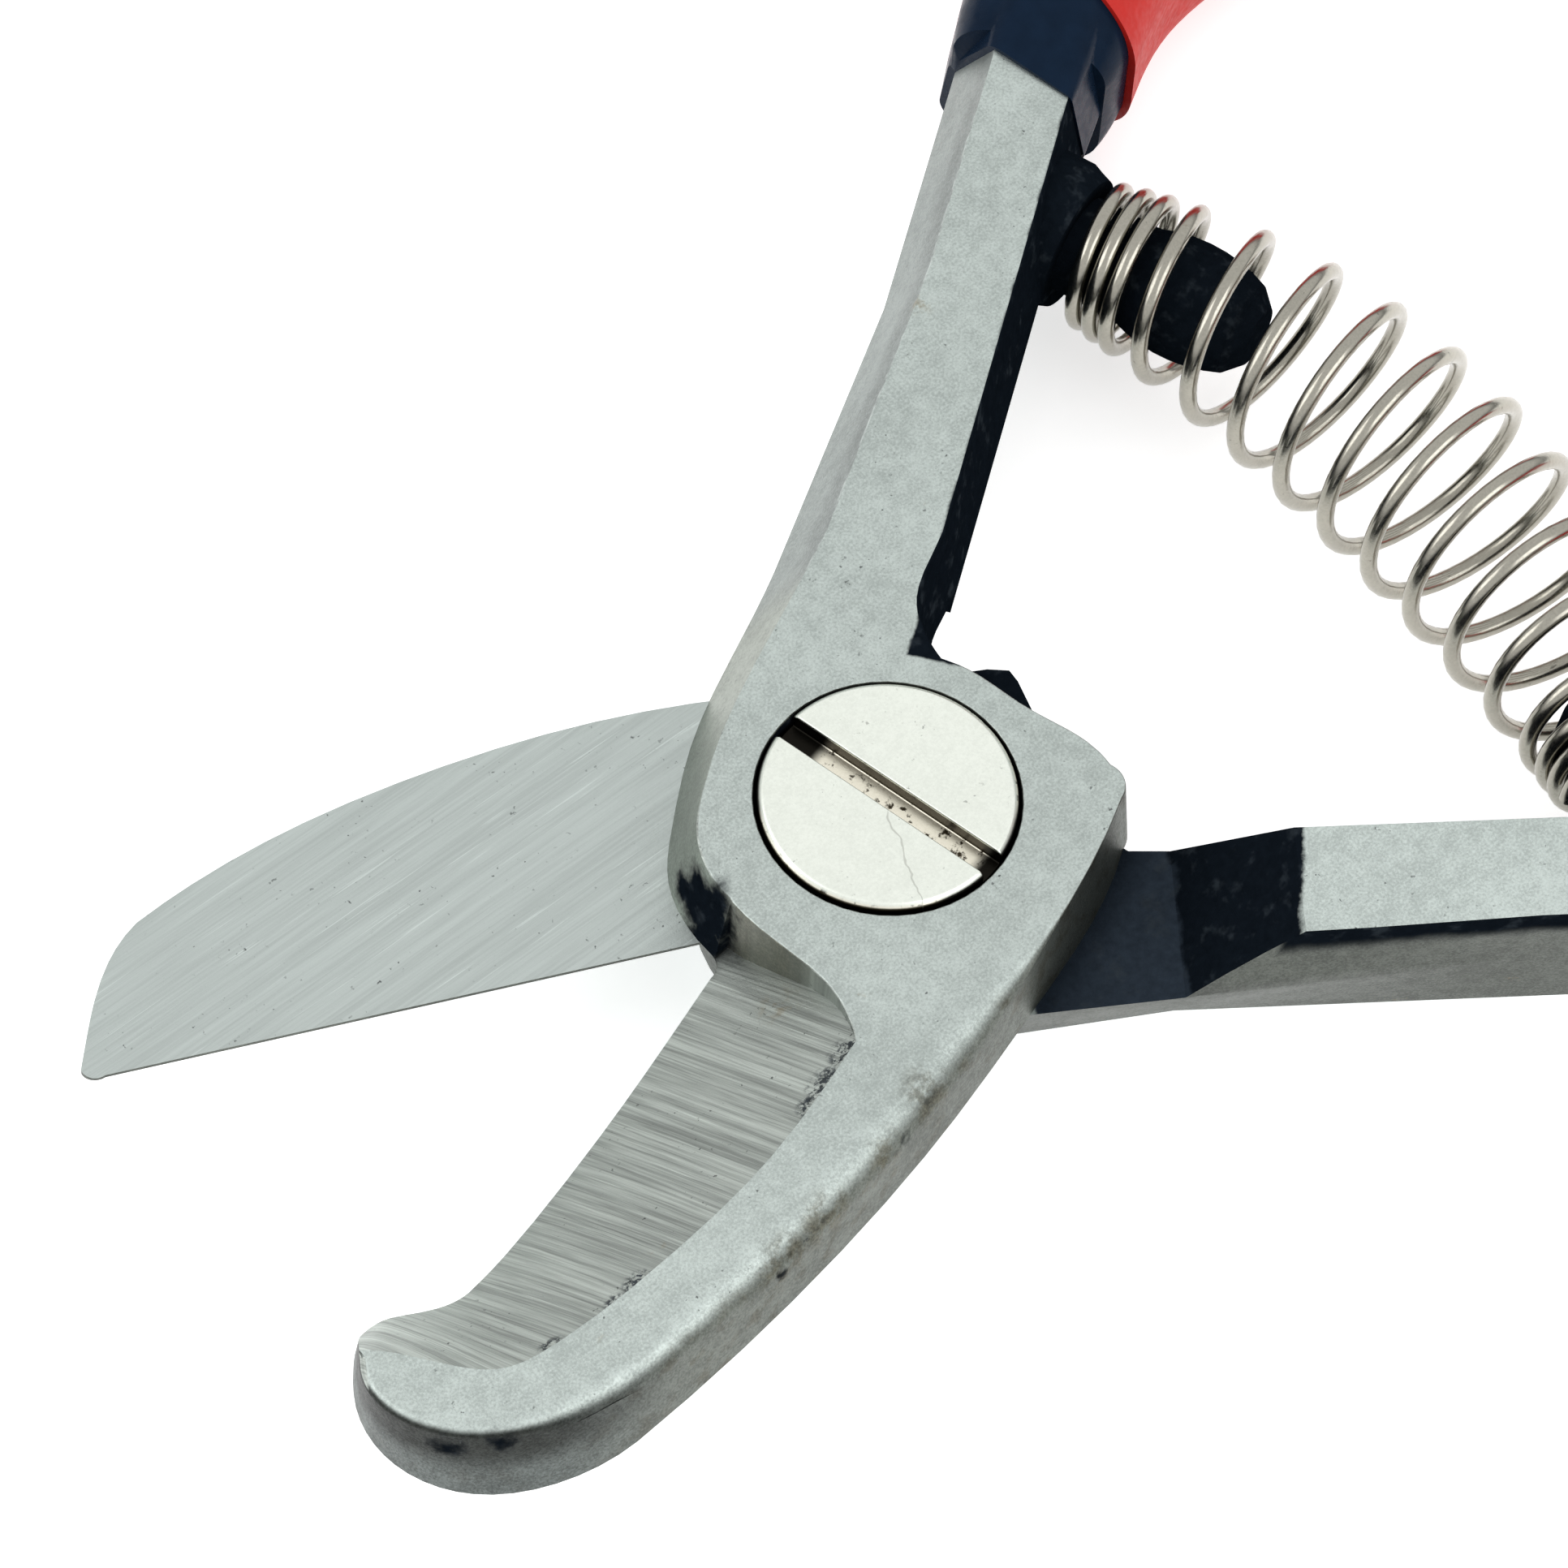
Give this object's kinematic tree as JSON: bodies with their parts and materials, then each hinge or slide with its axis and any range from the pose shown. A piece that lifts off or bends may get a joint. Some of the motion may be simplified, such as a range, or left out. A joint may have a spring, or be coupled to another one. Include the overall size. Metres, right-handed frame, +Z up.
{
  "type": "pruning shears",
  "caption": "Hand pruning shears: a flat-faced blade passes a hooked counter jaw on a slotted pivot bolt, held open by a barrel spring on forged pegs, with sleeved grips and a wire catch.",
  "frame": {"origin": "on the pivot axis at the bottom face of the pivot nut, which the shears lie on", "axes": "+X from the pivot to the jaw tips, +Y to the hook jaw's side, +Z up out of the slotted bolt head"},
  "size_m": [0.2065, 0.1246, 0.0189],
  "materials": {
    "forged_steel": "satin, blackened forging scale in the hollows",
    "nickel_plate": "bright warm nickel",
    "zinc_plate": "zinc plated",
    "spring_wire": "bright nickelled wire",
    "black_vinyl": "glossy dipped vinyl",
    "red_cover": "matte, slightly grained"
  },
  "bodies": {
    "hook_half": {"hook_forging": "forged_steel", "hook_grip_sleeve": "black_vinyl", "hook_grip_cover": "red_cover", "return_spring": "spring_wire"},
    "blade_half": {"blade_forging": "forged_steel", "blade_grip_sleeve": "black_vinyl", "blade_grip_cover": "red_cover", "pivot_bolt": "nickel_plate", "thrust_washer": "zinc_plate", "lock_washer": "zinc_plate", "pivot_nut": "zinc_plate"},
    "catch": {"catch_bail": "spring_wire"}
  },
  "joints": [
    {"name": "pivot", "type": "hinge", "parent": "hook_half", "child": "blade_half", "pos_m": [0, 0, 0.0095], "axis": [0, 0, 1], "range_deg": [0, 33], "stiffness_Nm_per_rad": 1.5, "springref_deg": -20.05, "deforming": ["return_spring"]},
    {"name": "catch_swing", "type": "hinge", "parent": "hook_half", "child": "catch", "pos_m": [-0.12646, -0.04886, 0.0095], "axis": [0, 0, 1], "range_deg": [-58, 90]}
  ]
}
